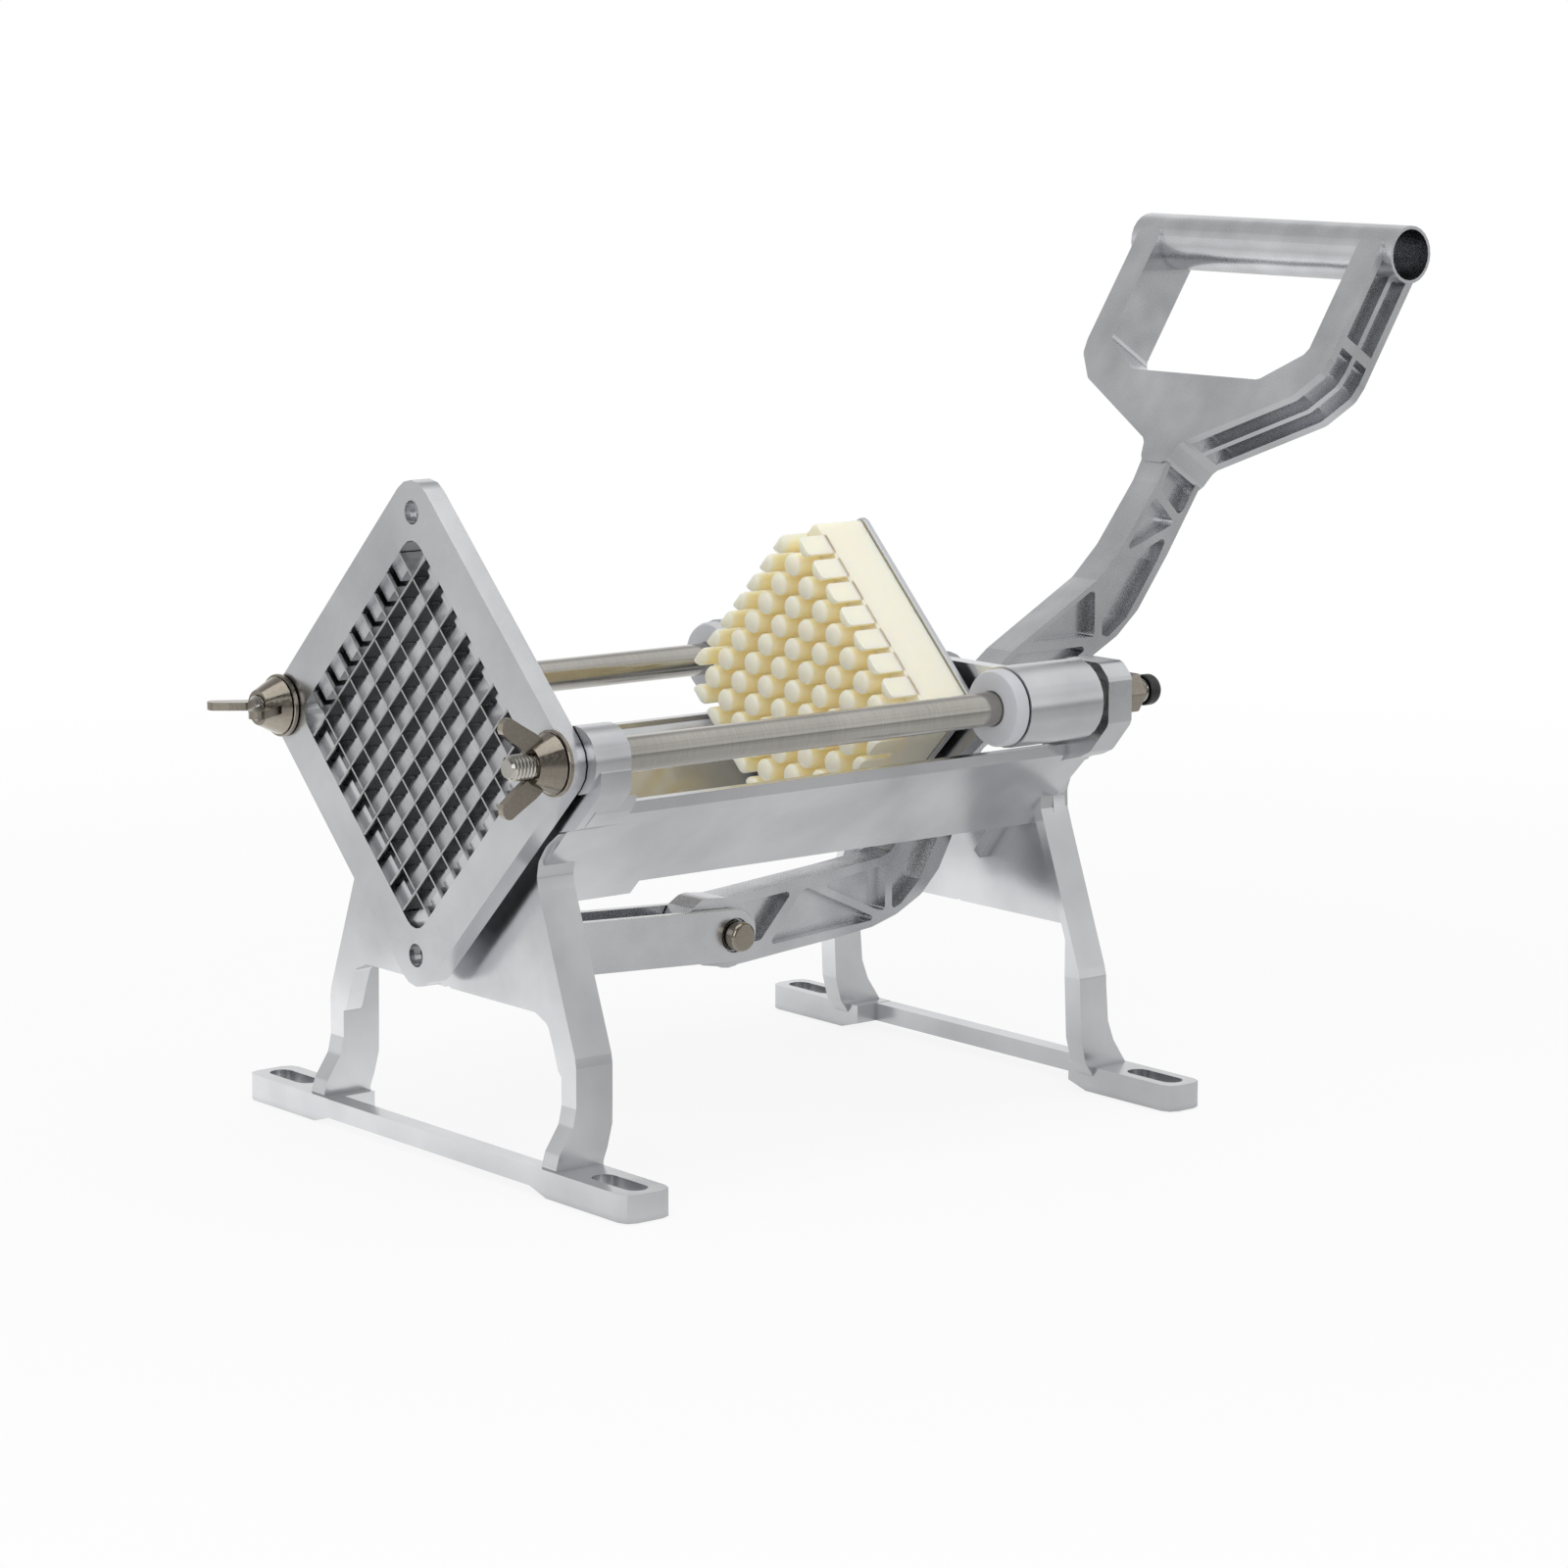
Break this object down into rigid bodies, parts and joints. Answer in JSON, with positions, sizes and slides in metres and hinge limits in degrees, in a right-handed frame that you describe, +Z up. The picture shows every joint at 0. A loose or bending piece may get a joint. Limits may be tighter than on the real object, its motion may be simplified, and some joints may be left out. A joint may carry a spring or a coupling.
{
  "type": "vegetable strip cutter",
  "caption": "Lever-operated vegetable strip cutter: a pegged pusher slides on rods and drives food through a square blade grid set on its corner.",
  "frame": {"origin": "middle of the bounding box in X and Y, on the underside of the feet", "axes": "+X runs from the blade grid back to the handle, +Y is across, +Z is up; the cutter is shown with its handle down at the back and its pusher at the back of its travel"},
  "size_m": [0.3894, 0.1988, 0.2732],
  "materials": {
    "cast_aluminium": "satin, polished casting",
    "plate_aluminium": "rolled plate",
    "blade_steel": "ground strip",
    "polished_steel": "polished",
    "nickel_plate": "plated, slightly warm",
    "ivory_plastic": "moulded, semi-gloss",
    "white_nylon": "turned",
    "black_plastic": "smooth"
  },
  "bodies": {
    "base": {"base_casting": "cast_aluminium", "blade_holder": "cast_aluminium", "blade_a1": "blade_steel", "blade_a2": "blade_steel", "blade_a3": "blade_steel", "blade_a4": "blade_steel", "blade_a5": "blade_steel", "blade_a6": "blade_steel", "blade_a7": "blade_steel", "blade_a8": "blade_steel", "blade_b1": "blade_steel", "blade_b2": "blade_steel", "blade_b3": "blade_steel", "blade_b4": "blade_steel", "blade_b5": "blade_steel", "blade_b6": "blade_steel", "blade_b7": "blade_steel", "blade_b8": "blade_steel", "guide_rod_near": "polished_steel", "front_washer_near": "polished_steel", "rear_washer_near": "polished_steel", "rear_nut_near": "polished_steel", "rod_cap_near": "black_plastic", "guide_rod_far": "polished_steel", "front_washer_far": "polished_steel", "rear_washer_far": "polished_steel", "rear_nut_far": "polished_steel", "rod_cap_far": "black_plastic", "link_spacer": "plate_aluminium", "front_pin": "nickel_plate", "front_pin_clip": "polished_steel"},
    "carriage": {"carriage_casting": "cast_aluminium", "pusher_block": "ivory_plastic", "pusher_plate": "plate_aluminium", "pusher_screw_1": "polished_steel", "pusher_screw_2": "polished_steel", "pusher_screw_3": "polished_steel", "pusher_screw_4": "polished_steel", "bushing_near": "white_nylon", "bushing_far": "white_nylon", "carriage_pin": "nickel_plate", "carriage_pin_clip": "polished_steel"},
    "lever": {"handle_lever": "cast_aluminium", "link_pin_core": "nickel_plate"},
    "link": {"link_bar_near": "cast_aluminium", "link_bar_far": "cast_aluminium", "link_pin_head": "nickel_plate", "link_pin_tail": "nickel_plate", "link_pin_clip": "polished_steel"},
    "wing_nut_near": {"wing_nut_near": "nickel_plate"},
    "wing_nut_far": {"wing_nut_far": "nickel_plate"}
  },
  "joints": [
    {"name": "carriage_slide", "type": "slide", "parent": "base", "child": "carriage", "axis": [-1, 0, 0], "range_m": [0, 0.1435]},
    {"name": "lever_swing", "type": "hinge", "parent": "carriage", "child": "lever", "pos_m": [0.02261, 0, 0.127], "axis": [0, -1, 0], "range_deg": [0, 81]},
    {"name": "link_swing", "type": "hinge", "parent": "base", "child": "link", "pos_m": [-0.14639, 0, 0.0605], "axis": [0, 1, 0], "range_deg": [0, 14.7]},
    {"name": "wing_nut_near_turn", "type": "hinge", "parent": "base", "child": "wing_nut_near", "pos_m": [-0.18339, -0.0705, 0.1304], "axis": [-1, 0, 0], "continuous": true},
    {"name": "wing_nut_far_turn", "type": "hinge", "parent": "base", "child": "wing_nut_far", "pos_m": [-0.18339, 0.0705, 0.1304], "axis": [-1, 0, 0], "continuous": true}
  ],
  "couplings": [
    {"joint": "lever_swing", "follows": "carriage_slide", "rad_per_m": 9.8395},
    {"joint": "link_swing", "follows": "carriage_slide", "rad_per_m": 1.7782}
  ]
}
